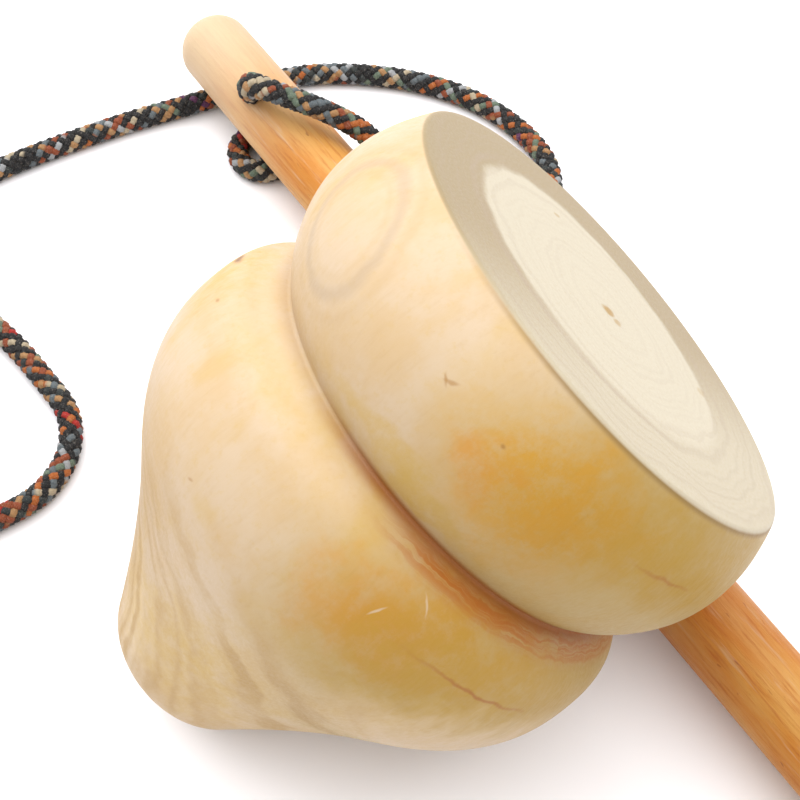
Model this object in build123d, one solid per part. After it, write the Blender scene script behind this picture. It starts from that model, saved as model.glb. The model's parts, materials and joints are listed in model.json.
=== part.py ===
from build123d import *

import os
from math import atan2, cos, degrees, pi, radians, sin, tan

# A turned wooden whipping top that leans on its own whip: a round stick with a braided lash.
# Millimetres, +Z up. X runs along the stick, from the lashed end (-X) to the grip end (+X).
# The origin is on the floor, below the middle of the top and the stick together.

# Top: stations are (distance from the flat face, radius), read from the face to the tip.
FACE_R = 25.4
RIM_ROUND = 0.5
DRUM = [(0.0, FACE_R), (3.9, 27.1), (8.1, 27.9), (12.4, 27.5), (15.9, 26.1), (17.9, 24.8)]
CREASE = (19.4, 23.4)
BELLY = [(22.6, 27.0), (27.0, 28.1), (31.7, 27.9), (37.6, 25.5), (43.5, 20.9), (49.4, 16.4), (55.3, 12.5)]
TIP_CORNER = (62.2, 8.4)
TIP_CORNER_ROUND = 3.2
TOP_LENGTH = 64.6

# Where the top lies: its tip is on the floor and its shoulder leans on the stick.
TOP_LEAN = 39.15
TOP_TURN = 77.9
FACE_X = -48.32
FACE_Y = 18.03

# Whip stick: a 10 mm dowel with rounded ends, lying with its lashed end on the lash.
STICK_R = 5.0
STICK_LENGTH = 280.0
STICK_END_ROUND = 4.2
STICK_Y = 22.5
HEEL_X = 136.0
HOLE_X = -122.1
HOLE_LEAN = 25.0
HOLE_R = 1.7

# Lash: a round braided cord, its stopper knot below the stick and its end knot.
CORD_R = 1.6
KNOT_RING_R = 3.8
KNOT_X = -121.3
KNOT_Y = 20.9
PROP_X = KNOT_X + KNOT_RING_R
END_KNOT_R = 3.4

# The lash from the hole in the stick to the coil, as the corners of its route.
ROUTE = [
    (-122.1, 21.15, 11.1),
    (-122.1, 20.1, 13.3),
    (-121.0, 19.7, 15.2),
    (-119.2, 20.0, 16.4),
    (-115.5, 21.7, 16.8),
    (-110.9, 24.9, 16.2),
    (-106.6, 28.6, 13.6),
    (-102.4, 30.8, 8.2),
    (-97.7, 31.8, 3.2),
    (-91.9, 32.9, 1.6),
    (-88.4, 35.8, 1.6),
    (-88.0, 41.6, 1.6),
    (-91.0, 47.8, 1.6),
    (-96.0, 52.1, 1.6),
    (-103.6, 53.1, 1.6),
    (-112.2, 51.3, 1.6),
    (-119.6, 47.1, 1.6),
    (-125.6, 41.4, 1.6),
    (-130.9, 34.0, 1.6),
    (-133.2, 25.6, 1.6),
    (-134.9, 17.2, 1.6),
    (-136.8, 9.0, 1.6),
    (-138.1, 0.6, 1.6),
    (-139.0, -7.4, 1.6),
    (-139.4, -15.4, 1.6),
    (-135.6, -22.4, 1.6),
    (-128.0, -26.1, 1.6),
    (-119.2, -24.9, 1.6),
    (-111.2, -23.1, 1.6),
    (-103.9, -22.5, 1.6),
    (-97.3, -22.1, 1.6),
    (-91.8, -25.2, 1.6),
    (-88.7, -30.7, 1.6),
    (-88.9, -37.5, 1.6),
    (-89.3, -45.0, 1.9),
    (-88.1, -53.0, 2.2),
]

# The put-away length: a neat round coil, two layers of three turns, held by a twine tie.
COIL_X = -110.5
COIL_Y = -56.5
COIL_INNER_R = 11.0
COIL_OUTER_R = 24.2
COIL_Z = 0.6
COIL_HEIGHT = 4 * CORD_R
TIE_WALL = COIL_Z
TIE_WIDTH = 4.0
TIE_GAP = 0.3

# The free end of the lash, from the coil to its knot.
TAIL = [
    (-90.6, -67.6, 5.2),
    (-94.3, -74.0, 3.4),
    (-98.6, -80.4, 1.6),
    (-103.0, -86.4, 1.6),
]

BEND_SHARE = 0.45


def top_outline():
    """Half section of the top: X is the radius, Y the distance from the face."""
    drum = Spline([(radius, along) for along, radius in DRUM + [CREASE]])
    belly = Spline([(radius, along) for along, radius in [CREASE] + BELLY + [TIP_CORNER]])
    corner = (TIP_CORNER[1], TIP_CORNER[0])
    pole = (0.0, TOP_LENGTH)
    crown = TangentArc(pole, corner, tangent=(1, 0))
    face = Line((0.0, 0.0), (FACE_R, 0.0))
    axis = Line(pole, (0.0, 0.0))
    return make_face([face, drum, belly, crown, axis])


def circles_at(blank, along):
    """The round edges of the turned blank at one distance from its face."""
    circles = blank.edges().filter_by(GeomType.CIRCLE)
    return circles.filter_by(lambda edge: abs(edge.center().Y - along) < RIM_ROUND / 2)


def turned_top():
    """The top as it leaves the lathe: face up at the origin, tip below it."""
    blank = revolve(top_outline(), Axis.Y, 360)
    blank = fillet(circles_at(blank, 0.0), RIM_ROUND)
    blank = fillet(circles_at(blank, TIP_CORNER[0]), TIP_CORNER_ROUND)
    return Rot(-90, 0, 0) * blank


def leaning_top():
    """The top laid over: tip on the floor, face towards +Y and up."""
    tilted = Rot(0, 0, TOP_TURN) * Rot(0, 90 - TOP_LEAN, 0) * turned_top()
    drop = tilted.bounding_box().min.Z
    return Pos(FACE_X, FACE_Y, -drop) * tilted


def stick_slope():
    """Angle of the stick: its heel is on the floor, its other end on the lash."""
    return degrees(atan2(2 * CORD_R, HEEL_X - PROP_X))


def stick_height(x):
    """Height of the stick's axis above the floor at x."""
    return STICK_R / cos(radians(stick_slope())) + (HEEL_X - x) * tan(radians(stick_slope()))


def hole_direction():
    return Vector(0, -sin(radians(HOLE_LEAN)), cos(radians(HOLE_LEAN)))


def whip_stick():
    """The dowel, with domed ends and the lash hole drilled across it."""
    dowel = Cylinder(STICK_R, STICK_LENGTH, rotation=(0, 90, 0))
    dowel = fillet(dowel.edges().filter_by(GeomType.CIRCLE), STICK_END_ROUND)
    stick = Pos(0, STICK_Y, stick_height(0)) * Rot(0, stick_slope(), 0) * dowel
    drill = Plane(origin=(HOLE_X, STICK_Y, stick_height(HOLE_X)), z_dir=hole_direction())
    return stick - drill * Cylinder(HOLE_R, 3 * STICK_R)


def stopper_knot():
    """The bight that stops the lash: one ring of cord flat on the floor, below the stick."""
    return Pos(KNOT_X, KNOT_Y, CORD_R) * Torus(KNOT_RING_R, CORD_R)


def bend_radii(route):
    """One radius for each inner corner, as large as its two runs allow."""
    points = [Vector(*point) for point in route]
    radii = []
    for before, corner, after in zip(points, points[1:], points[2:]):
        turn = radians((corner - before).get_angle(after - corner))
        shorter = min((corner - before).length, (after - corner).length)
        radii.append(BEND_SHARE * shorter / tan(turn / 2))
    return radii


def cord_tube(route):
    """A round tube along straight runs joined by tangent arcs."""
    radii = bend_radii(route)
    path = FilletPolyline(*route, radius=radii)
    start = Plane(origin=path @ 0, z_dir=path % 0)
    tube = sweep(start * Circle(CORD_R), path=path)
    print("bend radii", [round(radius, 1) for radius in radii])
    print("length", round(path.length, 1), "volume ratio", tube.volume / (pi * CORD_R**2 * path.length))
    return tube


def cord_coil():
    """Outer shape of the wound lash."""
    middle = COIL_Z + COIL_HEIGHT / 2
    ring = Cylinder(COIL_OUTER_R, COIL_HEIGHT) - Cylinder(COIL_INNER_R, COIL_HEIGHT)
    return Pos(COIL_X, COIL_Y, middle) * ring


def coil_tie():
    """A band of twine around the coil's section, on the side away from the lash."""
    inner_width = COIL_OUTER_R - COIL_INNER_R + 2 * TIE_GAP
    outer = Box(inner_width + 2 * TIE_WALL, TIE_WIDTH, COIL_HEIGHT + 2 * TIE_WALL)
    band = outer - Box(inner_width, TIE_WIDTH, COIL_HEIGHT)
    middle_r = (COIL_OUTER_R + COIL_INNER_R) / 2
    return Pos(COIL_X - middle_r, COIL_Y, COIL_Z + COIL_HEIGHT / 2) * band


def lash_end_knot():
    x, y, _ = TAIL[-1]
    return Pos(x, y, END_KNOT_R) * Sphere(END_KNOT_R)


os.makedirs("parts", exist_ok=True)
PIECES = {
    "top_body": leaning_top(),
    "whip_stick": whip_stick(),
    "stopper_knot": stopper_knot(),
    "whip_cord": cord_tube(ROUTE),
    "cord_coil": cord_coil(),
    "coil_tie": coil_tie(),
    "lash_tail": cord_tube(TAIL),
    "lash_end_knot": lash_end_knot(),
}
for name, piece in PIECES.items():
    export_step(piece, f"parts/{name}.step")
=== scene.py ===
import json
import random
from math import atan2, cos, hypot, pi, radians, sin

import bpy
import numpy as np
from mathutils import Matrix, Vector


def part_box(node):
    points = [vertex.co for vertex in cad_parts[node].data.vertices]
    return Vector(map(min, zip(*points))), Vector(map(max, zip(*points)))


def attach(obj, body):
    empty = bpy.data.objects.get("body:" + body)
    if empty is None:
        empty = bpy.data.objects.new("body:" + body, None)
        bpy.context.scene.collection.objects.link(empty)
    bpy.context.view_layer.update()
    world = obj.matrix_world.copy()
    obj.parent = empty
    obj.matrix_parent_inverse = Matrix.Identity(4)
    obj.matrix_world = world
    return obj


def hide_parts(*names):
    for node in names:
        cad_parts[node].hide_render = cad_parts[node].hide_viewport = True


# A turned wooden whipping top that leans on its whip. Sizes below are in millimetres in the
# row frame, and MM turns them into the metres that Blender works in.
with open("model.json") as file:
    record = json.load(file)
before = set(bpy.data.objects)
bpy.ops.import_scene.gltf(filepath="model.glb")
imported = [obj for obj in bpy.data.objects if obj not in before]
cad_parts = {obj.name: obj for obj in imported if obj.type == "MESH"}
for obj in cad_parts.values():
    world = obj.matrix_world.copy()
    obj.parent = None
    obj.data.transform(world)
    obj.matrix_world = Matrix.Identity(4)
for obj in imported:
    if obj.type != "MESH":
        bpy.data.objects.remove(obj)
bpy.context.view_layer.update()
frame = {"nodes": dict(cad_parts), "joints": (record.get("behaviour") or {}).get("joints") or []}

MM = 0.001
NODES = frame["nodes"]
SPIN = next(joint for joint in frame["joints"] if joint["name"] == "top_spin")
random.seed(7)


# ---------------------------------------------------------------- camera

CAMERA_PLACE = (19.45, -52.27, 171.45)
CAMERA_AIM = (-62.86, 3.86, 25.0)
CAMERA_LENS = 73.85
SENSOR = 36.0


def add_camera():
    """The camera, level from side to side, aimed at the crease of the top."""
    data = bpy.data.cameras.new("camera")
    data.lens = CAMERA_LENS
    data.sensor_width = SENSOR
    data.clip_start = 0.01
    data.clip_end = 20.0
    camera = bpy.data.objects.new("camera", data)
    bpy.context.scene.collection.objects.link(camera)
    place = Vector(CAMERA_PLACE) * MM
    aim = Vector(CAMERA_AIM) * MM
    camera.location = place
    camera.rotation_euler = (aim - place).to_track_quat("-Z", "Y").to_euler()
    bpy.context.scene.camera = camera


add_camera()


# ---------------------------------------------------------------- meshes

def add_mesh(name, points, faces, smooth=True):
    """A mesh object from points in millimetres."""
    mesh = bpy.data.meshes.new(name)
    mesh.from_pydata([tuple(c * MM for c in p) for p in points], [], faces)
    mesh.update()
    if smooth:
        mesh.polygons.foreach_set("use_smooth", [True] * len(mesh.polygons))
    thing = bpy.data.objects.new(name, mesh)
    bpy.context.scene.collection.objects.link(thing)
    return thing


def frames_along(path, closed=False):
    """Unit tangents and two steady normals at each point of a path (numpy, n by 3)."""
    ahead = np.roll(path, -1, axis=0)
    behind = np.roll(path, 1, axis=0)
    tangents = ahead - behind
    if not closed:
        tangents[0] = path[1] - path[0]
        tangents[-1] = path[-1] - path[-2]
    tangents /= np.linalg.norm(tangents, axis=1)[:, None]
    side = np.cross(tangents[0], (0.0, 0.0, 1.0))
    if np.linalg.norm(side) < 0.2:
        side = np.cross(tangents[0], (0.0, 1.0, 0.0))
    normals = []
    for tangent in tangents:
        side = side - tangent * (side @ tangent)
        side = side / np.linalg.norm(side)
        normals.append(side)
    normals = np.array(normals)
    if closed:
        normals = untwisted(tangents, normals)
    return tangents, normals, np.cross(tangents, normals)


def untwisted(tangents, normals):
    """Normals of a closed path, turned a little at each point so that the last meets the first."""
    binormals = np.cross(tangents, normals)
    gap = atan2(normals[0] @ binormals[-1], normals[0] @ normals[-1])
    turns = gap * np.arange(len(normals)) / len(normals)
    return normals * np.cos(turns)[:, None] + binormals * np.sin(turns)[:, None]


def evenly(path, step, closed=False):
    """The same path with its points a fixed step apart, and the distance run at each."""
    if closed:
        path = np.vstack([path, path[:1]])
    runs = np.linalg.norm(np.diff(path, axis=0), axis=1)
    run = np.concatenate([[0.0], np.cumsum(runs)])
    count = max(8, int(round(run[-1] / step)))
    at = np.linspace(0.0, run[-1], count, endpoint=not closed)
    spaced = np.array([np.interp(at, run, path[:, axis]) for axis in range(3)]).T
    return spaced, at


# ---------------------------------------------------------------- cord: its line

CORD_D = 3.2
ROUTE = [
    (-122.1, 21.15, 11.1),
    (-122.1, 20.1, 13.3),
    (-121.0, 19.7, 15.2),
    (-119.2, 20.0, 16.4),
    (-115.5, 21.7, 16.8),
    (-110.9, 24.9, 16.2),
    (-106.6, 28.6, 13.6),
    (-102.4, 30.8, 8.2),
    (-97.7, 31.8, 3.2),
    (-91.9, 32.9, 1.6),
    (-88.4, 35.8, 1.6),
    (-88.0, 41.6, 1.6),
    (-91.0, 47.8, 1.6),
    (-96.0, 52.1, 1.6),
    (-103.6, 53.1, 1.6),
    (-112.2, 51.3, 1.6),
    (-119.6, 47.1, 1.6),
    (-125.6, 41.4, 1.6),
    (-130.9, 34.0, 1.6),
    (-133.2, 25.6, 1.6),
    (-134.9, 17.2, 1.6),
    (-136.8, 9.0, 1.6),
    (-138.1, 0.6, 1.6),
    (-139.0, -7.4, 1.6),
    (-139.4, -15.4, 1.6),
    (-135.6, -22.4, 1.6),
    (-128.0, -26.1, 1.6),
    (-119.2, -24.9, 1.6),
    (-111.2, -23.1, 1.6),
    (-103.9, -22.5, 1.6),
    (-97.3, -22.1, 1.6),
    (-91.8, -25.2, 1.6),
    (-88.7, -30.7, 1.6),
    (-88.9, -37.5, 1.6),
    (-89.3, -45.0, 1.9),
    (-88.1, -53.0, 2.2),
]
TAIL = [
    (-90.6, -67.6, 5.2),
    (-94.3, -74.0, 3.4),
    (-98.6, -80.4, 1.6),
    (-101.6, -84.4, 2.6),
]

# The coil: three turns inward on the floor side, then three outward on top of them.
COIL_CENTRE = (-110.5, -56.5)
COIL_BOTTOM = 2.2
OUTER_TURN_R = 22.4
TURN_GAP = 3.2
LOWER_TURNS = 3.0
UPPER_TURNS = 3.1
CLIMB_TURNS = 0.25
POINTS_PER_TURN = 16


def coil_point(turns):
    """The cord's centre after that many turns of the coil, clockwise from where the route ends."""
    inner = OUTER_TURN_R - TURN_GAP * LOWER_TURNS
    start = atan2(ROUTE[-1][1] - COIL_CENTRE[1], ROUTE[-1][0] - COIL_CENTRE[0])
    angle = start - 2 * pi * turns
    climbed = min(max((turns - LOWER_TURNS) / CLIMB_TURNS, 0.0), 1.0)
    if turns < LOWER_TURNS:
        radius = OUTER_TURN_R - TURN_GAP * turns
    else:
        radius = inner + TURN_GAP * (turns - LOWER_TURNS)
    height = COIL_BOTTOM + CORD_D * climbed
    return (COIL_CENTRE[0] + radius * cos(angle), COIL_CENTRE[1] + radius * sin(angle), height)


def cord_points():
    """Control points of the whole lash: the route, the coil's turns and the tail to its knot."""
    steps = int(round((LOWER_TURNS + UPPER_TURNS) * POINTS_PER_TURN))
    turns = [step / POINTS_PER_TURN for step in range(1, steps + 1)]
    return ROUTE + [coil_point(turn) for turn in turns] + TAIL


def smooth_line(points):
    """Points along the NURBS spline with these control points, in millimetres."""
    data = bpy.data.curves.new("line", "CURVE")
    data.dimensions = "3D"
    data.resolution_u = 12
    spline = data.splines.new("NURBS")
    spline.points.add(len(points) - 1)
    for target, point in zip(spline.points, points):
        target.co = (*[c * MM for c in point], 1.0)
    spline.order_u = 3
    spline.use_endpoint_u = True
    curve = bpy.data.objects.new("line", data)
    bpy.context.scene.collection.objects.link(curve)
    bpy.context.view_layer.update()
    drawn = bpy.data.meshes.new_from_object(curve)
    line = np.array([vertex.co[:] for vertex in drawn.vertices]) / MM
    bpy.data.objects.remove(curve)
    bpy.data.meshes.remove(drawn)
    return line


# ---------------------------------------------------------------- cord: its braid

# Twelve strands, six each way round, over one and under one.
BRAID_PITCH = 8.4
STRANDS_EACH_WAY = 6
STRAND_CENTRE_R = 1.04
STRAND_WAVE = 0.21
STRAND_HALF_WIDTH = 0.49
STRAND_HALF_THICK = 0.35
STRAND_SIDES = 6
BRAID_STEP = 0.34
BULGE_PLACE = 4.0
BULGE_REACH = 2.6
BULGE_SHARE = 0.3

YARNS = {
    "black": (14, 14, 16),
    "charcoal": (34, 40, 40),
    "steel": (84, 92, 96),
    "silver": (142, 144, 146),
    "sage": (88, 102, 86),
    "cream": (160, 146, 122),
    "tan": (150, 112, 72),
    "rust": (124, 58, 28),
    "orange": (156, 84, 30),
    "red": (150, 28, 18),
    "plum": (78, 34, 72),
}
# Each strand is spun from a few of the yarns, and shows one after another along its length.
STRAND_YARNS = [
    ["black", "black", "black", "charcoal"],
    ["black", "steel", "cream", "plum"],
    ["black", "black", "charcoal", "black"],
    ["rust", "orange", "rust", "tan"],
    ["charcoal", "sage", "silver", "black"],
    ["black", "steel", "tan", "rust"],
    ["black", "black", "charcoal", "black"],
    ["cream", "tan", "rust", "silver"],
    ["black", "rust", "black", "steel"],
    ["sage", "steel", "orange", "red"],
    ["black", "black", "black", "charcoal"],
    ["orange", "cream", "black", "steel"],
]
SHORTEST_RUN = 3.0
LONGEST_RUN = 9.0


def linear(red, green, blue):
    """A colour given in the usual 0 to 255 steps, as the linear values that shaders take."""
    def one(value):
        value /= 255.0
        return value / 12.92 if value <= 0.04045 else ((value + 0.055) / 1.055) ** 2.4
    return (one(red), one(green), one(blue), 1.0)


def yarn_colours(names, run):
    """The colour at each distance along one strand: yarns in turn, in runs of uneven length."""
    edges, tints = [0.0], []
    while edges[-1] < run[-1] + LONGEST_RUN:
        edges.append(edges[-1] + random.uniform(SHORTEST_RUN, LONGEST_RUN))
        tints.append(linear(*YARNS[random.choice(names)]))
    picks = np.searchsorted(edges, run, side="right") - 1
    return np.array(tints)[picks]


def bulge(run):
    """The braid's thickness along the lash, as a share: it swells where it leaves its hole."""
    return 1.0 + BULGE_SHARE * np.exp(-(((run - BULGE_PLACE) / BULGE_REACH) ** 2))


def braid(name, line, thick=1.0, closed=False):
    """A round braid that follows a line: its flat strands in one mesh, each with its colours."""
    path, run = evenly(line, BRAID_STEP, closed)
    size = thick(run) if callable(thick) else np.full(len(run), thick)
    tangents, normals, binormals = frames_along(path, closed)
    length = run[-1] + (BRAID_STEP if closed else 0.0)
    pitch = BRAID_PITCH * size[-1]
    if closed:
        pitch = length / max(1, round(length / pitch))
    points, faces, tints, yarn_runs = [], [], [], []
    for strand in range(2 * STRANDS_EACH_WAY):
        way = 1 if strand < STRANDS_EACH_WAY else -1
        turn = way * 2 * pi * run / pitch + 2 * pi * (strand % STRANDS_EACH_WAY) / STRANDS_EACH_WAY
        wave = way * np.cos(2 * pi * STRANDS_EACH_WAY * run / pitch)
        out = normals * np.cos(turn)[:, None] + binormals * np.sin(turn)[:, None]
        middle = path + out * (size * (STRAND_CENTRE_R + STRAND_WAVE * wave))[:, None]
        strand_points(middle, out, size, closed, points, faces)
        colours = yarn_colours(STRAND_YARNS[strand], run)
        tints.append(np.repeat(colours, STRAND_SIDES, axis=0))
        yarn_runs.append(np.repeat(run + strand * LONGEST_RUN, STRAND_SIDES))
    thing = add_mesh(name, points, faces)
    tint = thing.data.attributes.new("yarn_colour", "FLOAT_COLOR", "POINT")
    tint.data.foreach_set("color", np.concatenate(tints).astype(np.float32).ravel())
    along = thing.data.attributes.new("yarn_run", "FLOAT", "POINT")
    along.data.foreach_set("value", np.concatenate(yarn_runs).astype(np.float32))
    return thing


def strand_points(middle, out, size, closed, points, faces):
    """Adds one flat strand: ovals of points across its own direction, joined ring to ring."""
    first = len(points)
    ahead = np.roll(middle, -1, axis=0) - np.roll(middle, 1, axis=0)
    if not closed:
        ahead[0], ahead[-1] = middle[1] - middle[0], middle[-1] - middle[-2]
    across = np.cross(ahead, out)
    across /= np.linalg.norm(across, axis=1)[:, None]
    angles = 2 * pi * np.arange(STRAND_SIDES) / STRAND_SIDES
    wide = STRAND_HALF_WIDTH * np.outer(size, np.cos(angles))[:, :, None]
    deep = STRAND_HALF_THICK * np.outer(size, np.sin(angles))[:, :, None]
    rings = middle[:, None, :] + across[:, None, :] * wide + out[:, None, :] * deep
    points.extend(map(tuple, rings.reshape(-1, 3)))
    count = len(middle)
    for ring in range(count if closed else count - 1):
        here = first + ring * STRAND_SIDES
        there = first + (ring + 1) % count * STRAND_SIDES
        for side in range(STRAND_SIDES):
            other = (side + 1) % STRAND_SIDES
            faces.append((here + side, here + other, there + other, there + side))
    if not closed:
        faces.append(tuple(first + side for side in reversed(range(STRAND_SIDES))))
        last = first + (count - 1) * STRAND_SIDES
        faces.append(tuple(last + side for side in range(STRAND_SIDES)))


# ---------------------------------------------------------------- cord: knots and tie

KNOT_CENTRE = (-121.3, 20.9, 1.6)
KNOT_RING_R = 3.8
KNOT_TUCK = [
    (-122.1, 24.2, 4.6),
    (-122.0, 24.4, 3.6),
    (-121.6, 24.0, 2.6),
    (-120.2, 21.6, 1.7),
    (-118.6, 19.4, 1.6),
]
TUCK_CORD = 0.94
END_KNOT_CENTRE = (-103.0, -86.4, 3.4)
END_KNOT_SCALE = 0.68
END_KNOT_DEPTH = 1.3
END_KNOT_CORD = 0.72
CIRCLE_STEPS = 48


def stopper_ring():
    """The stopper knot's loop, flat on the floor below the hole in the stick."""
    angles = 2 * pi * np.arange(CIRCLE_STEPS) / CIRCLE_STEPS
    x = KNOT_CENTRE[0] + KNOT_RING_R * np.cos(angles)
    y = KNOT_CENTRE[1] + KNOT_RING_R * np.sin(angles)
    return np.array([x, y, np.full(CIRCLE_STEPS, KNOT_CENTRE[2])]).T


def overhand_loop():
    """An overhand knot pulled tight: a trefoil about the end knot's centre."""
    t = 2 * pi * np.arange(3 * CIRCLE_STEPS) / (3 * CIRCLE_STEPS)
    x = np.sin(t) + 2 * np.sin(2 * t)
    y = np.cos(t) - 2 * np.cos(2 * t)
    z = -END_KNOT_DEPTH * np.sin(3 * t)
    return np.array([x, y, z]).T * END_KNOT_SCALE + np.array(END_KNOT_CENTRE)


TWINE_R = 0.17
TWINE_PLIES = 2
TWINE_LAY = 1.6
TWINE_OFFSET = 0.14
TWINE_SIDES = 6
TWINE_STEP = 0.3
TIE_TURNS = 5
TIE_PITCH = 0.66
TIE_CORNER = 1.4
TIE_CORNER_STEPS = 6
# The wound turns reach from one of these radii to the other on the side where the tie is.
COIL_BACK_R = (12.7, 22.5)


def tie_turn(shift):
    """One turn of the tie round the coil's section, in the plane across it."""
    low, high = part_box("coil_tie")
    inset = TWINE_R + TWINE_OFFSET
    left = COIL_CENTRE[0] - COIL_BACK_R[1] - inset
    right = COIL_CENTRE[0] - COIL_BACK_R[0] + inset
    bottom, top = low.z / MM + inset, high.z / MM - inset
    y = (low.y + high.y) / 2 / MM + shift
    corners = [(right, top, 0), (left, top, 1), (left, bottom, 2), (right, bottom, 3)]
    line = []
    for x, z, quarter in corners:
        mid_x = x - TIE_CORNER if x == right else x + TIE_CORNER
        mid_z = z - TIE_CORNER if z == top else z + TIE_CORNER
        for step in range(TIE_CORNER_STEPS + 1):
            angle = (quarter + step / TIE_CORNER_STEPS) * pi / 2
            line.append((mid_x + TIE_CORNER * cos(angle), y, mid_z + TIE_CORNER * sin(angle)))
    return np.array(line)


def twine(name, lines):
    """Closed turns of thin two-ply twine, in one mesh."""
    points, faces = [], []
    for line in lines:
        path, run = evenly(line, TWINE_STEP, closed=True)
        tangents, normals, binormals = frames_along(path, closed=True)
        length = run[-1] + TWINE_STEP
        lays = round(length / TWINE_LAY)
        for ply in range(TWINE_PLIES):
            turn = 2 * pi * (lays * run / length + ply / TWINE_PLIES)
            out = normals * np.cos(turn)[:, None] + binormals * np.sin(turn)[:, None]
            ply_points(path + out * TWINE_OFFSET, out, points, faces)
    return add_mesh(name, points, faces)


def ply_points(middle, out, points, faces):
    """Adds one round ply of the twine."""
    first, sides = len(points), TWINE_SIDES
    ahead = np.roll(middle, -1, axis=0) - np.roll(middle, 1, axis=0)
    across = np.cross(ahead, out)
    across /= np.linalg.norm(across, axis=1)[:, None]
    for here, side_way, out_way in zip(middle, across, out):
        for side in range(sides):
            angle = 2 * pi * side / sides
            points.append(tuple(here + TWINE_R * (cos(angle) * side_way + sin(angle) * out_way)))
    count = len(middle)
    for ring in range(count):
        here, there = first + ring * sides, first + (ring + 1) % count * sides
        for side in range(sides):
            other = (side + 1) % sides
            faces.append((here + side, here + other, there + other, there + side))


def add_cord():
    """The lash with its knots and the coil's tie, all on the whip."""
    line = smooth_line(cord_points())
    lash = braid("lash", line, thick=bulge)
    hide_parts("whip_cord", "cord_coil", "lash_tail")
    ring = braid("stopper_knot_loop", stopper_ring(), closed=True)
    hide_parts("stopper_knot")
    tuck = braid("stopper_knot_tuck", smooth_line(KNOT_TUCK), thick=TUCK_CORD)
    knot = braid("end_knot", overhand_loop(), thick=END_KNOT_CORD, closed=True)
    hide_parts("lash_end_knot")
    shifts = [(turn - (TIE_TURNS - 1) / 2) * TIE_PITCH for turn in range(TIE_TURNS)]
    tie = twine("coil_twine_tie", [tie_turn(shift) for shift in shifts])
    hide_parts("coil_tie")
    for piece in (lash, ring, tuck, knot, tie):
        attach(piece, "whip")
    return [lash, ring, tuck, knot], tie


braids, tie = add_cord()


# ---------------------------------------------------------------- top: its shape

# Stations along the profile: (distance from the flat face, radius).
FACE_R = 25.4
RIM_ROUND = 0.5
DRUM = [(3.9, 27.1), (8.1, 27.9), (12.4, 27.5), (15.9, 26.1), (17.9, 24.8)]
CREASE = (19.4, 23.4)
BELLY = [
    (22.6, 27.0),
    (27.0, 28.1),
    (31.7, 27.9),
    (37.6, 25.5),
    (43.5, 20.9),
    (49.4, 16.4),
    (55.3, 12.5),
]
TIP_CORNER = (62.2, 8.4)
TIP_CORNER_ROUND = 2.4
TOP_LENGTH = 64.6
CROWN_START = (TOP_LENGTH - 0.9, 5.0)
CENTRE_R = 0.02
CROWN_RADII = (5.6, 4.2, 2.8, 1.4, CENTRE_R)
FACE_STEP = 0.8
RIM_GAP = 0.2
PROFILE_STEP = 0.45
TOP_SIDES = 288


def through(stations):
    """A smooth line through the stations: a natural cubic spline over the chord length."""
    p = np.array(stations, float)
    run = np.concatenate([[0.0], np.cumsum(np.linalg.norm(np.diff(p, axis=0), axis=1))])
    gaps, count = np.diff(run), len(p)
    system, right = np.eye(count), np.zeros((count, 2))
    for i in range(1, count - 1):
        system[i, i - 1 : i + 2] = gaps[i - 1], 2 * (gaps[i - 1] + gaps[i]), gaps[i]
        right[i] = 6 * ((p[i + 1] - p[i]) / gaps[i] - (p[i] - p[i - 1]) / gaps[i - 1])
    bend = np.linalg.solve(system, right)
    at = np.arange(0.0, run[-1], PROFILE_STEP)
    span = np.clip(np.searchsorted(run, at, side="right") - 1, 0, count - 2)
    h, after, before = gaps[span][:, None], (run[span + 1] - at)[:, None], (at - run[span])[:, None]
    line = (bend[span] * after**3 + bend[span + 1] * before**3) / (6 * h)
    line += (p[span] / h - bend[span] * h / 6) * after
    line += (p[span + 1] / h - bend[span + 1] * h / 6) * before
    return [tuple(row) for row in line]


def rounded(corner, before, after, radius, steps=6):
    """A corner of the profile, rounded off between the directions of its two neighbours."""
    c = np.array(corner, float)
    a = c + (np.array(before) - c) / np.linalg.norm(np.array(before) - c) * radius
    b = c + (np.array(after) - c) / np.linalg.norm(np.array(after) - c) * radius
    ts = [step / steps for step in range(steps + 1)]
    return [tuple(a * (1 - t) ** 2 + 2 * c * t * (1 - t) + b * t * t) for t in ts]


def top_profile():
    """(distance from the face, radius) from the middle of the face round to the tip."""
    face = [(0.0, r) for r in np.arange(CENTRE_R, FACE_R - 1.0, FACE_STEP)]
    rim = rounded((0.0, FACE_R), (0.0, 0.0), DRUM[0], RIM_ROUND)
    drum = through([(0.0, FACE_R)] + DRUM + [CREASE])
    drum = [s for s in drum if s[0] > rim[-1][0] + RIM_GAP]
    tip_depth, tip_r = TIP_CORNER
    belly = through([CREASE] + BELLY + [TIP_CORNER])
    belly = [s for s in belly if hypot(s[0] - tip_depth, s[1] - tip_r) > TIP_CORNER_ROUND]
    corner = rounded(TIP_CORNER, BELLY[-1], CROWN_START, TIP_CORNER_ROUND)
    crown = [(TOP_LENGTH - (r / tip_r) ** 2 * (TOP_LENGTH - tip_depth), r) for r in CROWN_RADII]
    return face + rim + drum + belly + corner + crown


def radius_at(depth):
    """The top's radius at a distance from its face, on the drum or the belly."""
    stations = [(0.0, FACE_R)] + DRUM + [CREASE] + BELLY + [TIP_CORNER, (TOP_LENGTH, 0.0)]
    return float(np.interp(depth, [s[0] for s in stations], [s[1] for s in stations]))


def top_place():
    """Where the top stands: its own Z is the spin axis, out of the middle of its face."""
    out = Vector(SPIN["axis"]).normalized()
    side = Vector((0.0, 0.0, 1.0)).cross(out).normalized()
    turned = Matrix((side, out.cross(side), out)).transposed().to_4x4()
    return Matrix.Translation(Vector(SPIN["pos_m"])) @ turned


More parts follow.
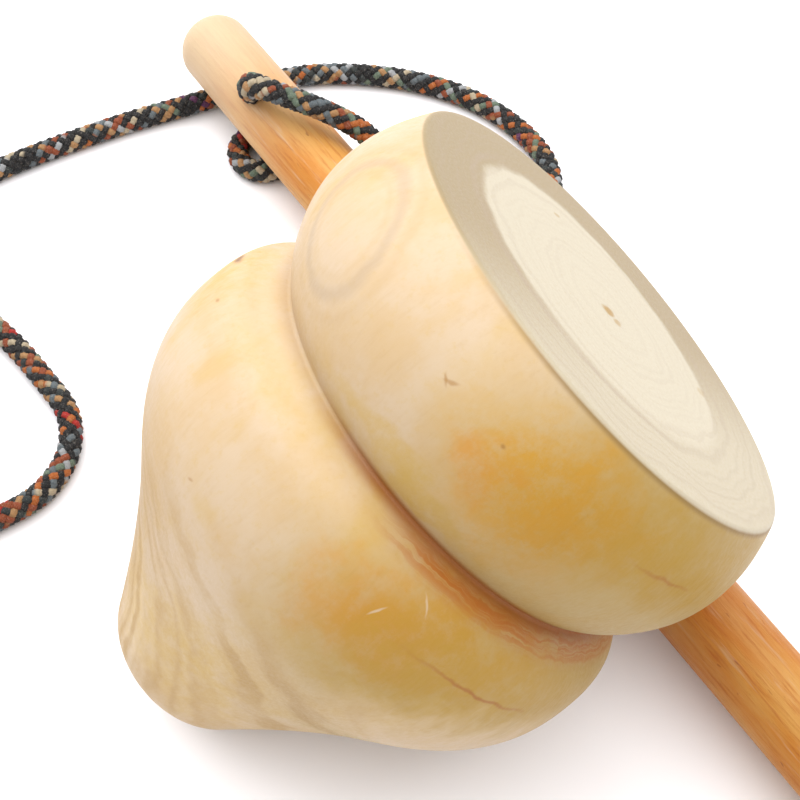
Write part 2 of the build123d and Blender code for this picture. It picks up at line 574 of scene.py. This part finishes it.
def add_top():
    """The top turned as one piece about its own Z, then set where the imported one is."""
    profile = top_profile()
    points = []
    for depth, radius in profile:
        for side in range(TOP_SIDES):
            angle = 2 * pi * side / TOP_SIDES
            points.append((radius * cos(angle), radius * sin(angle), -depth))
    faces = []
    for ring in range(len(profile) - 1):
        here, there = ring * TOP_SIDES, (ring + 1) * TOP_SIDES
        for side in range(TOP_SIDES):
            other = (side + 1) % TOP_SIDES
            faces.append((here + side, there + side, there + other, here + other))
    faces.append(tuple(range(TOP_SIDES)))
    last = (len(profile) - 1) * TOP_SIDES
    faces.append(tuple(last + side for side in reversed(range(TOP_SIDES))))
    top = add_mesh("turned_top", points, faces)
    top.data.transform(top_place())
    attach(top, "top")
    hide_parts("top_body")
    return top


top = add_top()


class Paint:
    """A material's node tree, built call by call: each call adds a node and gives its output."""

    def __init__(self, name):
        self.material = bpy.data.materials.new(name)
        self.material.use_nodes = True
        self.tree = self.material.node_tree
        self.shader = self.tree.nodes["Principled BSDF"]

    def put(self, kind, inputs, output=0, **settings):
        node = self.tree.nodes.new(kind)
        for key, value in settings.items():
            setattr(node, key, value)
        for key, value in inputs.items():
            self.feed(node.inputs[key], value)
        return node.outputs[output]

    def feed(self, socket, value):
        if isinstance(value, bpy.types.NodeSocket):
            self.tree.links.new(value, socket)
        else:
            socket.default_value = value

    def place(self, origin=Matrix.Identity(4)):
        """The piece's coordinates in millimetres, measured in the frame that origin gives."""
        keys = {
            "Vector": self.put("ShaderNodeTexCoord", {}, "Object"),
            "Location": origin.translation,
            "Rotation": origin.to_euler(),
            "Scale": (MM, MM, MM),
        }
        return self.put("ShaderNodeMapping", keys, vector_type="TEXTURE")

    def split(self, vector):
        node = self.tree.nodes.new("ShaderNodeSeparateXYZ")
        self.feed(node.inputs[0], vector)
        return node.outputs[0], node.outputs[1], node.outputs[2]

    def join(self, x, y, z):
        return self.put("ShaderNodeCombineXYZ", {0: x, 1: y, 2: z})

    def calc(self, operation, a, b=0.0, c=0.0):
        return self.put("ShaderNodeMath", {0: a, 1: b, 2: c}, operation=operation)

    def stretch(self, at, x, y, z):
        return self.put("ShaderNodeVectorMath", {0: at, 1: (x, y, z)}, operation="MULTIPLY")

    def noise(self, at, scale, detail=3.0, rough=0.55):
        """Cloudy noise from 0 to 1, with scale in waves per millimetre."""
        keys = {"Vector": at, "Scale": scale, "Detail": detail, "Roughness": rough}
        return self.put("ShaderNodeTexNoise", keys)

    def drift(self, at, scale, reach):
        """The coordinates, pushed about by up to half of reach, so that edges wander."""
        cloud = self.put("ShaderNodeTexNoise", {"Vector": at, "Scale": scale, "Detail": 3.0}, 1)
        middle = (0.5, 0.5, 0.5)
        centred = self.put("ShaderNodeVectorMath", {0: cloud, 1: middle}, operation="SUBTRACT")
        push = self.put("ShaderNodeVectorMath", {0: centred, "Scale": reach}, operation="SCALE")
        return self.put("ShaderNodeVectorMath", {0: at, 1: push}, operation="ADD")

    def ease(self, value, low, high, start=0.0, end=1.0):
        """A soft step from start, at low, to end, at high."""
        keys = {"Value": value, "From Min": low, "From Max": high, "To Min": start, "To Max": end}
        return self.put("ShaderNodeMapRange", keys, interpolation_type="SMOOTHSTEP")

    def band(self, value, centre, half, strength=1.0):
        """A soft stripe where value is within half of centre."""
        away = self.calc("ABSOLUTE", self.calc("SUBTRACT", value, centre))
        return self.ease(away, 0.0, half, strength, 0.0)

    def times(self, *values):
        total = values[0]
        for value in values[1:]:
            total = self.calc("MULTIPLY", total, value)
        return total

    def mix(self, share, a, b, kind="MIX"):
        keys = {0: share, 6: a, 7: b}
        return self.put("ShaderNodeMix", keys, 2, data_type="RGBA", blend_type=kind)

    def finish(self, colour, rough, relief, depth_mm, **fixed):
        """Wires colour, roughness and relief to the shader, and sets its fixed values."""
        self.feed(self.shader.inputs["Base Color"], colour)
        self.feed(self.shader.inputs["Roughness"], rough)
        bump = self.put("ShaderNodeBump", {"Height": relief, "Distance": depth_mm * MM})
        self.feed(self.shader.inputs["Normal"], bump)
        for key, value in fixed.items():
            self.shader.inputs[key.replace("_", " ")].default_value = value
        return self.material


# ---------------------------------------------------------------- materials: the top

PITH = (0.8, -1.0)
PITH_LEAN = (0.20, 0.09)
RING_GAP = 1.15
CONE_RING_GAP = 1.9
CORE_CENTRE = (1.4, -0.2)
CORE_R = 17.0
# Small golden flaws in the end grain: place, size, strength.
FACE_FLAWS = [
    (0.8, -1.0, 1.0, 0.9),
    (-0.5, -1.5, 0.7, 0.6),
    (14.8, -3.0, 0.6, 0.5),
    (-5.2, -15.0, 0.9, 0.3),
]

WOOD_CREAM = linear(184, 157, 119)
WOOD_PALE = linear(186, 164, 136)
WOOD_BUFF = linear(161, 127, 68)
WOOD_HONEY = linear(181, 147, 62)
WOOD_GOLD = linear(196, 142, 22)
WOOD_ORANGE = linear(198, 120, 10)
WOOD_BROWN = linear(94, 48, 12)
WOOD_RED = linear(156, 84, 6)
# rust brown of the veins, also used as painted shade in the crease
WOOD_RUST_AND_SHADE = linear(140, 74, 6)
WOOD_SPECK = linear(148, 106, 48)
WOOD_RIM_SHADE = linear(124, 96, 50)
WOOD_CHALK_AND_LIGHT = linear(214, 196, 166)
WOOD_TANNED_AND_SHADED = (0.74, 0.69, 0.41, 1.0)
WOOD_DUST = linear(148, 129, 108)
FACE_CORE = linear(181, 171, 149)
FACE_RING = linear(144, 126, 92)
PITH_GOLD = linear(150, 114, 38)

# Marks on the sides: angle round the axis, distance from the face, half width round the axis,
# half height along it, slant, colour, strength.
STAINS = [
    (150, 7.0, 17.0, 8.0, 0.1, WOOD_HONEY, 0.8),
    (142, 8.5, 11.0, 8.0, 0.2, WOOD_GOLD, 0.7),
    (128, 10.0, 3.6, 3.4, 0.5, WOOD_ORANGE, 0.35),
    (150, 5.5, 9.0, 4.0, -0.1, WOOD_GOLD, 0.5),
    (178, 5.0, 14.0, 7.0, 0.0, WOOD_HONEY, 0.7),
    (172, 12.5, 14.0, 3.0, 0.0, WOOD_PALE, 0.5),
    (140, 26.9, 8.0, 5.2, 0.3, WOOD_ORANGE, 0.9),
    (153, 24.5, 14.0, 5.5, 0.2, WOOD_GOLD, 0.7),
    (162, 27.0, 20.0, 8.0, 0.0, WOOD_HONEY, 0.75),
    (148, 33.0, 12.0, 7.0, 0.0, WOOD_HONEY, 0.5),
    # painted light: floor bounce on the belly's lower edge
    (176, 34.0, 13.0, 5.5, 0.2, WOOD_PALE, 0.85),
    (166, 43.0, 7.0, 6.0, 0.2, WOOD_PALE, 0.5),
    (130, 47.0, 10.0, 8.0, 0.0, WOOD_HONEY, 0.65),
    (95, 56.0, 5.0, 5.0, 0.0, WOOD_CHALK_AND_LIGHT, 0.6),
    (88, 22.0, 9.0, 3.0, 0.2, WOOD_HONEY, 0.35),
    (121, 16.6, 13.0, 1.8, 0.0, WOOD_HONEY, 0.6),
    (116, 54.0, 12.0, 6.0, 0.0, WOOD_HONEY, 0.6),
    (46, 25.0, 8.0, 3.4, 0.0, WOOD_GOLD, 0.6),
    (250, 9.0, 12.0, 7.0, 0.3, WOOD_GOLD, 0.5),
    (300, 28.0, 14.0, 8.0, 0.2, WOOD_HONEY, 0.6),
    (215, 40.0, 10.0, 8.0, 0.0, WOOD_BUFF, 0.6),
    (10, 33.0, 12.0, 9.0, 0.0, WOOD_BUFF, 0.4),
]
# The side that has darkened and yellowed, partly for real and partly as painted shade, and the
# stretch along its lower edge kept pale as painted light bounced up from the floor.
TANNED_AND_SHADED_SIDE = 176
FLOOR_BOUNCE_EDGE = (176, 35.0, 14.0, 6.0, 0.2)
# The oval knot, and its rings: place between its middle (0) and its edge (1), half width,
# strength, colour.
KNOT = (74, 8.2, 7.0, 5.4, -0.5)
KNOT_RINGS = [
    (1.0, 0.2, 0.34, WOOD_DUST),
    (0.78, 0.12, 0.14, WOOD_BUFF),
    (1.3, 0.16, 0.14, WOOD_BUFF),
]
# Thin veins: distance from the face, half width, angle, half reach round the axis, strength.
VEINS = [
    (26.6, 0.35, 165, 24, 0.7),
    (6.7, 0.3, 172, 14, 0.5),
]
# Bands round the top: distance from the face, half width. The band just past the crease is painted
# light, the crease band is painted shade, the rim band is a painted shade line, and the red band is
# a stain.
CREASE_LIGHT_BAND = (20.6, 1.2)
RED_BAND = (20.4, 1.6)
CREASE_SHADE = (19.4, 1.1)
RIM_SHADE_LINE = (0.3, 0.5)
FLECKS = [
    (114, 7.2, 0.9, 0.28, 0.6, WOOD_SPECK, 0.6),
    (113, 7.4, 0.8, 0.2, -0.7, WOOD_SPECK, 0.6),
    (128, 6.9, 0.38, 0.36, 0.0, WOOD_SPECK, 0.8),
    (62, 24.7, 0.5, 0.35, 0.3, WOOD_SPECK, 0.7),
    (43, 23.9, 2.4, 0.8, 0.2, WOOD_BROWN, 0.8),
    (137, 25.6, 1.3, 0.18, 1.1, WOOD_PALE, 0.8),
    (143, 22.6, 1.3, 0.18, -0.7, WOOD_PALE, 0.7),
    (96, 33.0, 0.5, 0.25, 0.4, WOOD_SPECK, 0.5),
    (255, 12.0, 0.9, 0.5, 0.3, WOOD_BROWN, 0.7),
    (320, 30.0, 0.8, 0.5, 0.3, WOOD_BROWN, 0.7),
]


def on_side(paint, at, angle, depth, wide, high, slant):
    """How far a point is from a mark on the top's side, where 1 is the mark's edge."""
    turn = radians(angle)
    radius = radius_at(depth)
    keys = {
        "Vector": at,
        "Location": (radius * cos(turn), radius * sin(turn), -depth),
        "Rotation": (slant, 0.0, turn),
        "Scale": (14.0, wide, high),
    }
    local = paint.put("ShaderNodeMapping", keys, vector_type="TEXTURE")
    return paint.put("ShaderNodeVectorMath", {0: local}, 1, operation="LENGTH")


def towards(paint, at, angle):
    """How far a point lies from the spin axis towards an angle round it."""
    way = (cos(radians(angle)), sin(radians(angle)), 0.0)
    return paint.put("ShaderNodeVectorMath", {0: at, 1: way}, 1, operation="DOT_PRODUCT")


def growth(paint, at, gap):
    """Uneven growth rings about the pith, which leans away from the spin axis."""
    x, y, z = paint.split(at)
    pith_x = paint.calc("MULTIPLY_ADD", z, -PITH_LEAN[0], PITH[0])
    pith_y = paint.calc("MULTIPLY_ADD", z, -PITH_LEAN[1], PITH[1])
    away = paint.join(paint.calc("SUBTRACT", x, pith_x), paint.calc("SUBTRACT", y, pith_y), 0.0)
    rho = paint.put("ShaderNodeVectorMath", {0: away}, 1, operation="LENGTH")
    keys = {"W": rho, "Scale": 1 / gap, "Detail": 1.0}
    return paint.put("ShaderNodeTexNoise", keys, noise_dimensions="1D")


def face_colour(paint, at, soft, rings):
    """The end grain: a pale core inside a darker ring that fades towards one side."""
    x, y, z = paint.split(soft)
    off = paint.join(
        paint.calc("SUBTRACT", x, CORE_CENTRE[0]),
        paint.times(paint.calc("SUBTRACT", y, CORE_CENTRE[1]), 1.04),
        0.0,
    )
    out = paint.put("ShaderNodeVectorMath", {0: off}, 1, operation="LENGTH")
    edge = paint.ease(out, CORE_R - 0.5, CORE_R + 0.9)
    fading = paint.ease(x, -16.0, 6.0, 0.22, 1.0)
    colour = paint.mix(paint.times(edge, fading), FACE_CORE, FACE_RING)
    lines = paint.ease(rings, 0.42, 0.68)
    strong = paint.ease(out, CORE_R - 4.0, CORE_R + 2.0, 0.12, 0.26)
    colour = paint.mix(paint.times(lines, strong), colour, WOOD_DUST)
    inner = paint.times(paint.band(out, CORE_R + 1.6, 0.8, 0.4), paint.ease(y, -2.0, 10.0))
    colour = paint.mix(inner, colour, WOOD_DUST)
    pores = paint.noise(at, 2.2, 5.0, 0.75)
    colour = paint.mix(paint.ease(pores, 0.5, 0.75, 0.0, 0.34), colour, WOOD_BUFF)
    for flaw_x, flaw_y, size, strength in FACE_FLAWS:
        keys = {
            "Vector": soft,
            "Location": (flaw_x, flaw_y, 0.0),
            "Scale": (size * 0.7, size * 1.1, 2.0),
            "Rotation": (0.0, 0.0, 0.35),
        }
        local = paint.put("ShaderNodeMapping", keys, vector_type="TEXTURE")
        near = paint.put("ShaderNodeVectorMath", {0: local}, 1, operation="LENGTH")
        colour = paint.mix(paint.ease(near, 0.5, 1.3, strength, 0.0), colour, PITH_GOLD)
    return colour


def side_colour(paint, at, soft, rings):
    """The long grain of the drum and the belly, with its stains, knot, veins and flecks, painted
    shade on the yellowed side and painted floor-bounce light along its lower edge.
    """
    x, y, z = paint.split(at)
    depth = paint.times(z, -1.0)
    clouds = paint.noise(at, 0.11, 4.0, 0.6)
    colour = paint.mix(paint.ease(clouds, 0.38, 0.66), WOOD_PALE, WOOD_CREAM)
    warm = paint.noise(paint.stretch(at, 1.0, 1.0, 0.5), 0.16, 3.0)
    colour = paint.mix(paint.ease(warm, 0.5, 0.75, 0.0, 0.45), colour, WOOD_HONEY)
    loose = paint.drift(paint.drift(at, 0.13, 9.0), 0.5, 4.0)
    patchy = paint.ease(paint.noise(at, 0.42, 6.0, 0.72), 0.34, 0.62, 0.4, 1.0)
    for angle, down, wide, high, slant, tint, strength in STAINS:
        near = on_side(paint, loose, angle, down, wide, high, slant)
        share = paint.times(paint.ease(near, 0.2, 1.35, strength, 0.0), patchy)
        colour = paint.mix(share, colour, tint)
    fibres = paint.noise(paint.stretch(at, 1.0, 1.0, 0.08), 1.7, 4.0, 0.65)
    colour = paint.mix(paint.ease(fibres, 0.5, 0.78, 0.0, 0.14), colour, WOOD_BUFF)
    mottle = paint.noise(at, 1.1, 5.0, 0.75)
    colour = paint.mix(paint.ease(mottle, 0.5, 0.72, 0.0, 0.22), colour, WOOD_HONEY)
    lines = paint.ease(rings, 0.36, 0.74)
    cone = paint.ease(depth, 31.0, 46.0, 0.0, 0.75)
    uneven = paint.ease(clouds, 0.3, 0.6, 0.35, 1.0)
    colour = paint.mix(paint.times(lines, cone, uneven), colour, WOOD_BUFF)
    around = towards(paint, at, TANNED_AND_SHADED_SIDE)
    # painted light: the lower edge, lit by light bounced up from the floor, is kept out of the
    # painted shade
    floor_bounce_edge = on_side(paint, loose, *FLOOR_BOUNCE_EDGE)
    # partly real yellowing, partly painted shade: the side facing away from the light is darkened
    # and yellowed
    tanned_and_shaded = paint.times(paint.ease(around, 11.0, 26.0), paint.ease(floor_bounce_edge, 0.3, 1.5))
    colour = paint.mix(tanned_and_shaded, colour, WOOD_TANNED_AND_SHADED, "MULTIPLY")
    return marks(paint, at, soft, depth, colour)


def marks(paint, at, soft, depth, colour):
    """The oval knot, the two thin veins, the red stain in the crease with a painted light band
    beside it and painted shade in it, the painted shade line at the rim, and the small flecks.
    """
    knot = on_side(paint, soft, *KNOT)
    colour = paint.mix(paint.ease(knot, 0.5, 0.95, 0.35, 0.0), colour, WOOD_PALE)
    for edge, half, strength, tint in KNOT_RINGS:
        colour = paint.mix(paint.band(knot, edge, half, strength), colour, tint)
    wander = paint.split(soft)[2]
    x, y, z = paint.split(at)
    angle = paint.calc("ARCTAN2", y, x)
    for down, half, turn, reach, strength in VEINS:
        near = paint.band(angle, radians(turn), radians(reach))
        vein = paint.band(paint.times(wander, -1.0), down, half)
        colour = paint.mix(paint.times(vein, near, strength), colour, WOOD_RUST_AND_SHADE)
    around = towards(paint, at, TANNED_AND_SHADED_SIDE)
    # painted light: a paler band on the upper side beside the crease, lifting the shade that falls
    # there
    crease_light = paint.times(paint.band(depth, *CREASE_LIGHT_BAND), paint.ease(around, -2.0, 12.0, 0.2, 0.0))
    colour = paint.mix(crease_light, colour, WOOD_CHALK_AND_LIGHT)
    round_axis = paint.join(paint.times(wander, 1.6), paint.times(angle, 0.9), 0.0)
    streaks = paint.ease(paint.noise(round_axis, 1.5, 4.0, 0.7), 0.38, 0.6, 0.2, 1.0)
    red_side = paint.ease(around, 14.0, 21.0)
    red = paint.times(paint.band(depth, *RED_BAND), red_side, streaks, 0.9)
    colour = paint.mix(red, colour, WOOD_RED)
    # painted shade: a rust-brown band darkening the crease, strongest on the yellowed, shaded side
    crease_shade_side = paint.ease(around, 2.0, 14.0, 0.06, 1.0)
    colour = paint.mix(paint.times(paint.band(depth, *CREASE_SHADE), crease_shade_side, 0.9), colour, WOOD_RUST_AND_SHADE)
    # painted shade: a darker line round the rim of the face, strongest on the yellowed side
    painted_lighting = paint.ease(around, -2.0, 20.0)
    colour = paint.mix(paint.times(paint.band(depth, *RIM_SHADE_LINE), painted_lighting, 0.8), colour, WOOD_RIM_SHADE)
    for turn, down, wide, high, slant, tint, strength in FLECKS:
        near = on_side(paint, soft, turn, down, wide, high, slant)
        colour = paint.mix(paint.ease(near, 0.2, 1.0, strength, 0.0), colour, tint)
    return colour


def top_wood():
    """Pale turned sapwood: end grain on the face, long grain on the sides."""
    paint = Paint("turned_top_wood")
    at = paint.place(top_place())
    soft = paint.drift(at, 0.12, 5.0)
    fine = paint.drift(at, 0.35, 1.2)
    rings = growth(paint, soft, RING_GAP)
    x, y, z = paint.split(at)
    on_face = paint.ease(z, -0.35, -0.1)
    face = face_colour(paint, at, fine, rings)
    side = side_colour(paint, at, fine, growth(paint, soft, CONE_RING_GAP))
    colour = paint.mix(on_face, side, face)
    pores = paint.noise(paint.stretch(at, 1.0, 1.0, 0.15), 3.2, 4.0, 0.7)
    rough = paint.ease(pores, 0.3, 0.7, 0.44, 0.62)
    ridges = paint.times(rings, paint.ease(z, -46.0, -34.0, 1.0, 0.2))
    relief = paint.calc("ADD", paint.times(pores, 0.35), paint.times(ridges, 0.5))
    return paint.finish(colour, rough, relief, 0.05, Specular_IOR_Level=0.38)


top.data.materials.append(top_wood())


# ---------------------------------------------------------------- materials: the stick

STICK_TAN = linear(190, 138, 64)
STICK_HONEY = linear(182, 114, 30)
STICK_RUST_AND_SHADE = linear(152, 74, 11)
STICK_PEACH_AND_HIGHLIGHT = linear(190, 169, 140)
STICK_BROWN = linear(111, 51, 9)


def stick_wood():
    """A dry dowel with fine long grain, with a painted highlight towards the lashed end and a rust
    stain with painted shade where it passes near the top.
    """
    paint = Paint("stick_dowel_wood")
    at = paint.place()
    x, y, z = paint.split(at)
    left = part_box("whip_stick")[0].x / MM
    clouds = paint.noise(paint.stretch(at, 0.25, 1.0, 1.0), 0.3, 4.0)
    colour = paint.mix(paint.ease(clouds, 0.35, 0.68), STICK_TAN, STICK_HONEY)
    fibres = paint.noise(paint.stretch(at, 0.07, 1.0, 1.0), 2.1, 5.0, 0.7)
    colour = paint.mix(paint.ease(fibres, 0.47, 0.72, 0.0, 0.6), colour, STICK_RUST_AND_SHADE)
    pale = paint.noise(paint.stretch(at, 0.09, 1.0, 1.0), 1.2, 3.0)
    colour = paint.mix(paint.ease(pale, 0.55, 0.75, 0.0, 0.45), colour, STICK_PEACH_AND_HIGHLIGHT)
    flecks = paint.noise(paint.stretch(at, 0.3, 1.0, 1.0), 1.6, 2.0)
    colour = paint.mix(paint.ease(flecks, 0.68, 0.76, 0.0, 0.6), colour, STICK_BROWN)
    # painted highlight: the stick grows paler towards its rounded lashed end
    painted_lighting = paint.ease(x, left + 2.0, left + 34.0, 0.85, 0.0)
    colour = paint.mix(painted_lighting, colour, STICK_PEACH_AND_HIGHLIGHT)
    # partly stain, partly painted shade: a rust band along the stick where it passes near the top
    stained_and_shaded = paint.band(x, -38.0, 26.0, 0.55)
    colour = paint.mix(stained_and_shaded, colour, STICK_RUST_AND_SHADE)
    rough = paint.ease(fibres, 0.3, 0.7, 0.46, 0.64)
    relief = paint.calc("ADD", paint.times(fibres, 0.7), paint.times(flecks, 0.3))
    return paint.finish(colour, rough, relief, 0.12, Specular_IOR_Level=0.4)


NODES["whip_stick"].material_slots[0].material = stick_wood()


# ---------------------------------------------------------------- materials: cord and twine

TWINE_FIBRE = linear(184, 156, 112)
TWINE_SHADE = linear(128, 100, 64)
YARN_LINT = linear(196, 188, 178)
YARN_SHADE = linear(20, 18, 18)


def braid_yarn():
    """Synthetic yarns: each strand's own colour, broken up by fine fibres."""
    paint = Paint("braided_lash_yarn")
    colour = paint.put("ShaderNodeAttribute", {}, "Color", attribute_name="yarn_colour")
    run = paint.put("ShaderNodeAttribute", {}, "Fac", attribute_name="yarn_run")
    at = paint.place()
    fibres = paint.noise(at, 5.5, 3.0, 0.7)
    lit = paint.mix(paint.ease(fibres, 0.5, 0.8, 0.0, 0.35), colour, YARN_LINT)
    dark = paint.mix(paint.ease(fibres, 0.2, 0.48, 0.45, 0.0), lit, YARN_SHADE)
    twist = paint.calc("SINE", paint.times(run, 2 * pi / 0.55))
    relief = paint.calc("ADD", paint.times(twist, 0.25), fibres)
    rough = paint.ease(fibres, 0.3, 0.7, 0.62, 0.85)
    return paint.finish(dark, rough, relief, 0.14, Specular_IOR_Level=0.35)


def tie_twine():
    """Natural twine: two plies with darker hollows and loose fibres."""
    paint = Paint("natural_twine")
    at = paint.place()
    fibres = paint.noise(at, 4.0, 4.0, 0.7)
    colour = paint.mix(paint.ease(fibres, 0.35, 0.7), TWINE_SHADE, TWINE_FIBRE)
    rough = paint.ease(fibres, 0.3, 0.7, 0.8, 0.95)
    return paint.finish(colour, rough, fibres, 0.1, Specular_IOR_Level=0.2)


yarn = braid_yarn()
for piece in braids:
    piece.data.materials.append(yarn)
tie.data.materials.append(tie_twine())


# ---------------------------------------------------------------- floor and light

FLOOR_HALF = 3000.0
FLOOR_DROP = 0.02
FLOOR_WHITE = linear(246, 245, 248)
SOFTBOX_SIZE = 950.0
SOFTBOX_PLACE = (-90.0, 110.0, 620.0)
SOFTBOX_WATTS = 7.0
FILL_SIZE = 500.0
FILL_PLACE = (-460.0, -60.0, 300.0)
FILL_WATTS = 1.6
SKY_STRENGTH = 0.78


def add_floor():
    """A plain pale table top, just under the lowest part."""
    h, z = FLOOR_HALF, -FLOOR_DROP
    floor = add_mesh("floor", [(-h, -h, z), (h, -h, z), (h, h, z), (-h, h, z)], [(0, 1, 2, 3)])
    paint = Paint("pale_table")
    at = paint.place()
    cloud = paint.noise(at, 0.01, 2.0)
    colour = paint.mix(paint.ease(cloud, 0.3, 0.7, 0.0, 0.04), FLOOR_WHITE, WOOD_DUST)
    floor.data.materials.append(paint.finish(colour, 0.9, cloud, 0.02, Specular_IOR_Level=0.1))


def add_softbox(name, place, size, watts, aim):
    """A square soft light that faces a point."""
    data = bpy.data.lights.new(name, "AREA")
    data.shape = "SQUARE"
    data.size = size * MM
    data.energy = watts
    light = bpy.data.objects.new(name, data)
    bpy.context.scene.collection.objects.link(light)
    light.location = Vector(place) * MM
    light.rotation_euler = ((Vector(aim) - Vector(place)) * MM).to_track_quat("-Z", "Y").to_euler()


def add_sky():
    """Even white light from all round."""
    world = bpy.data.worlds.new("studio")
    world.use_nodes = True
    sky = world.node_tree.nodes["Background"]
    sky.inputs["Color"].default_value = (1.0, 1.0, 1.0, 1.0)
    sky.inputs["Strength"].default_value = SKY_STRENGTH
    bpy.context.scene.world = world


add_floor()
add_softbox("overhead_softbox", SOFTBOX_PLACE, SOFTBOX_SIZE, SOFTBOX_WATTS, CAMERA_AIM)
add_softbox("side_fill", FILL_PLACE, FILL_SIZE, FILL_WATTS, CAMERA_AIM)
add_sky()
bpy.context.scene.view_settings.view_transform = "Standard"
